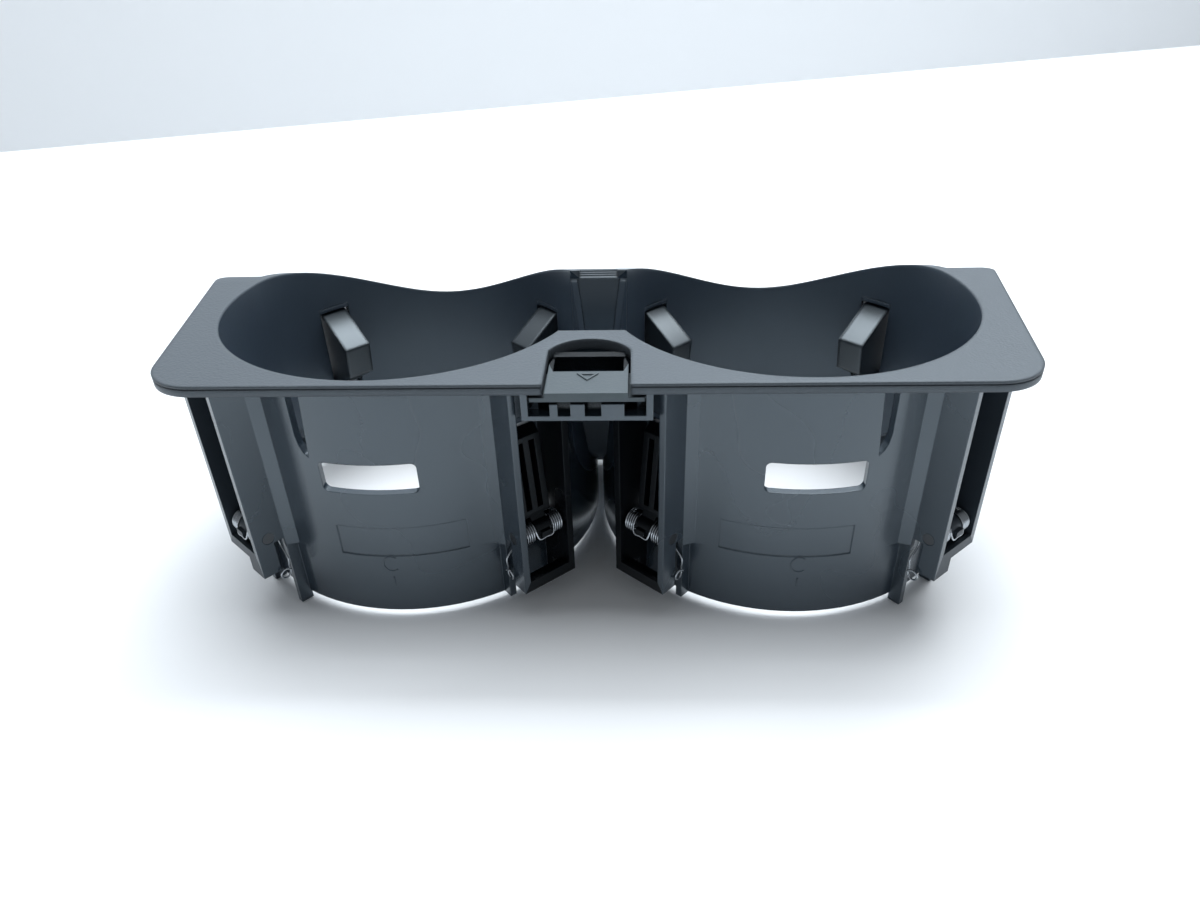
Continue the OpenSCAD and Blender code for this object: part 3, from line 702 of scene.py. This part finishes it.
# %% Lintels
LINTEL_LOW, LINTEL_HIGH = 43.4, 44.55
LINTEL_HALF = 4.1
STATIONS = 13
ACROSS = np.linspace(-LINTEL_HALF, LINTEL_HALF, STATIONS)
corners = ((WELL_R, LINTEL_LOW), (WELL_OUTER, LINTEL_LOW),
           (WELL_OUTER, LINTEL_HIGH), (WELL_R, LINTEL_HIGH))
ring = [[(r**2 - ACROSS**2) ** 0.5, ACROSS, np.full(STATIONS, z)] for r, z in corners]
strip = np.transpose(np.array(ring), (2, 0, 1)).reshape(-1, 3)
for name in ARMS:
    add_piece(f"{name}_lintel", channel_points(name, strip), grid_faces(STATIONS, 4), WELL_SATIN,
              "housing")
print("lintels:", len(ARMS))

# %% [markdown]
# ## Small moulded marks
# Each front wall carries a plain open ring and a short tick below it, left by the mould. They are
# thin half-sunk beads that follow the round wall.

# %% Marks on the front walls
BEAD_R = 0.16
RING_HALF_W, RING_HALF_H = 1.7, 1.9
RING_Z = 15.0
RING_ENDS = (50, 310)
TICK_Z = (9.2, 11.4)
RING_POINTS, TICK_POINTS = 27, 6


def on_front_wall(side, along, height):
    """Points on a well's outer wall: along is the arc length from its foremost line, in mm."""
    turn = np.asarray(along, float) / WELL_OUTER
    return np.stack([side * WELL_X + WELL_OUTER * np.sin(turn),
                     WELL_Y + ROW_Y - WELL_OUTER * np.cos(turn), np.asarray(height, float)],
                    axis=1)


for side, word in ((-1, "left"), (1, "right")):
    a = np.radians(np.linspace(*RING_ENDS, RING_POINTS))
    ring = on_front_wall(side, RING_HALF_W * np.cos(a), RING_Z + RING_HALF_H * np.sin(a))
    tick = on_front_wall(side, np.zeros(TICK_POINTS), np.linspace(*TICK_Z, TICK_POINTS))
    for bead, path in (("ring", ring), ("tick", tick)):
        grid = tube_grid(path, BEAD_R, ACROSS_AXIS, sides=10)
        add_piece(f"{word}_wall_{bead}", grid * MM, grid_faces(*grid.shape[:2]), WALL_SMOOTH,
                  "housing")
print("marks: a ring and a tick on each front wall")

# %% [markdown]
# ## Boards for the room
# The part stands on a pale table in front of a pale wall, both of painted board. The pale look of
# the room comes from their colours, and not from more light on the part.

# %% Pale boards
BOARD_CLOUD_MM = 90.0
BOARD_SWING = 0.1
BOARD_SHINE = 0.3


def stage_material(name, tone, roughness):
    """Matt pale board with a faint cloudiness, as on a used table."""
    material = bpy.data.materials.new(name)
    material.use_nodes = True
    tree = material.node_tree
    tree.nodes.clear()
    place = add_node(tree, "ShaderNodeTexCoord").outputs["Object"]
    cloud = add_node(tree, "ShaderNodeTexNoise", None,
                     {"Vector": place, "Scale": per_metre(BOARD_CLOUD_MM), "Detail": 4.0})
    sheen = add_node(tree, "ShaderNodeMapRange", None,
                     {"Value": cloud.outputs["Fac"], "To Min": roughness - BOARD_SWING,
                      "To Max": roughness + BOARD_SWING})
    shader = add_node(tree, "ShaderNodeBsdfPrincipled", None,
                      {"Base Color": linear(tone), "Roughness": sheen.outputs["Result"],
                       "Specular IOR Level": BOARD_SHINE})
    add_node(tree, "ShaderNodeOutputMaterial", None, {"Surface": shader.outputs["BSDF"]})
    return material


def stage_quad(name, corners, material):
    """Flat quad from its four corners in metres."""
    mesh = bpy.data.meshes.new(name)
    mesh.from_pydata([tuple(c) for c in corners], [], [[0, 1, 2, 3]])
    mesh.materials.append(material)
    quad = bpy.data.objects.new(name, mesh)
    scene.collection.objects.link(quad)


FLOOR = stage_material("pale_table", "#eceef0", 0.55)
BACKDROP = stage_material("pale_wall", "#d9dcdf", 0.8)
print("boards:", FLOOR.name, "and", BACKDROP.name)

# %% [markdown]
# ## Table and wall
# The table's top lies a fifth of a millimetre under the part's feet, so the two never share a
# face. The wall stands askew behind the table. Two points of the line where they meet are given,
# in metres, and the wall is that line made longer at both ends and raised.

# %% Stage
FLOOR_REACH = 3
FLOOR_Z = -0.0002
WALL_FOOT_Z, WALL_TOP_Z = -0.01, 2.2
WALL_EXTRA = 2.5
FOOT = np.array([[-0.452, 0.4368], [0.6218, 0.8489]])
FOOT_STEP = FOOT[1] - FOOT[0]
wall_left, wall_right = FOOT[0] - WALL_EXTRA * FOOT_STEP, FOOT[1] + WALL_EXTRA * FOOT_STEP
SIGNS = ((-1, -1), (1, -1), (1, 1), (-1, 1))
stage_quad("floor", [(x * FLOOR_REACH, y * FLOOR_REACH, FLOOR_Z) for x, y in SIGNS], FLOOR)
stage_quad("wall", [(*wall_left, WALL_FOOT_Z), (*wall_right, WALL_FOOT_Z),
                    (*wall_right, WALL_TOP_Z), (*wall_left, WALL_TOP_Z)], BACKDROP)
print("wall length in m:", round(float(np.hypot(*(wall_right - wall_left))), 1))

# %% [markdown]
# ## Light
# One soft lamp hangs right over the part, and a wider one hangs over the rear and lays a long
# highlight on the flange and the walls. The sky fills the front with one even pale blue at about a
# third of full strength. Both lamps are large for their distance, so the shadows under the flange
# and around the feet are soft.

# %% Sky and lamps
LAMP_TONE = "#f6fbff"
LAMP_TARGET = (0, 0.02, 0.0)
SKY_STRENGTH = 0.38
world = bpy.data.worlds.new("soft_room")
scene.world = world
world.use_nodes = True
world.node_tree.nodes.clear()
sky = add_node(world.node_tree, "ShaderNodeBackground", None,
               {"Color": linear("#f3f8fd"), "Strength": SKY_STRENGTH})
add_node(world.node_tree, "ShaderNodeOutputWorld", None, {"Surface": sky.outputs["Background"]})


def soft_lamp(name, place, size, watts):
    """Area lamp at place, in metres, aimed at the part."""
    lamp = bpy.data.lights.new(name, "AREA")
    lamp.shape = "RECTANGLE"
    lamp.size, lamp.size_y = size
    lamp.energy = watts
    lamp.color = linear(LAMP_TONE)[:3]
    holder = bpy.data.objects.new(name, lamp)
    scene.collection.objects.link(holder)
    holder.location = place
    aim = Vector(LAMP_TARGET) - Vector(place)
    holder.rotation_euler = aim.to_track_quat("-Z", "Y").to_euler()


soft_lamp("overhead", place=(0.0, 0.12, 1.0), size=(0.8, 0.5), watts=7.5)
soft_lamp("behind", place=(0.0, 0.55, 0.95), size=(1.5, 0.5), watts=21.0)

# %% [markdown]
# ## Camera
# The photograph looks down at the front of the part from a little to the right. The camera's
# place, tilt and lens were worked out from the corners of the flange and the rims of the wells.
# The lens is given by its focal length in pixels of a picture 1200 wide.

# %% Camera
PITCH_DOWN, YAW, ROLL = np.radians([32.12, 2.96, 1.78])
FOCAL_PX, FRAME_PX, SENSOR = 839.5, 1200.0, 36.0
CAMERA_MM = (9.28, -178.95, 129.5)
NEAREST_M, FARTHEST_M = 0.01, 20.0


def camera_axes(pitch, yaw, roll):
    """Right, down and forward: forward starts level along +Y, is pitched down and turned about
    Z by yaw, and right and down are then turned about forward by roll."""
    forward = np.array([0.0, np.cos(pitch), -np.sin(pitch)])
    right = np.array([1.0, 0.0, 0.0])
    down = np.cross(forward, right)
    turn = np.array([[np.cos(yaw), -np.sin(yaw), 0], [np.sin(yaw), np.cos(yaw), 0], [0, 0, 1]])
    forward, right, down = turn @ forward, turn @ right, turn @ down
    return (np.cos(roll) * right + np.sin(roll) * down,
            np.cos(roll) * down - np.sin(roll) * right, forward)


right, down, forward = camera_axes(PITCH_DOWN, YAW, ROLL)
camera_data = bpy.data.cameras.new("camera")
camera_data.sensor_width = SENSOR
camera_data.lens = FOCAL_PX / FRAME_PX * SENSOR
camera_data.clip_start, camera_data.clip_end = NEAREST_M, FARTHEST_M
camera = bpy.data.objects.new("camera", camera_data)
scene.collection.objects.link(camera)
placed = np.eye(4)
placed[:3, 0], placed[:3, 1], placed[:3, 2] = right, -down, -forward
placed[:3, 3] = np.array(CAMERA_MM) * MM
camera.matrix_world = Matrix(placed.tolist())
scene.camera = camera
scene.view_settings.view_transform = "Standard"
print("lens in mm:", round(camera_data.lens, 2))
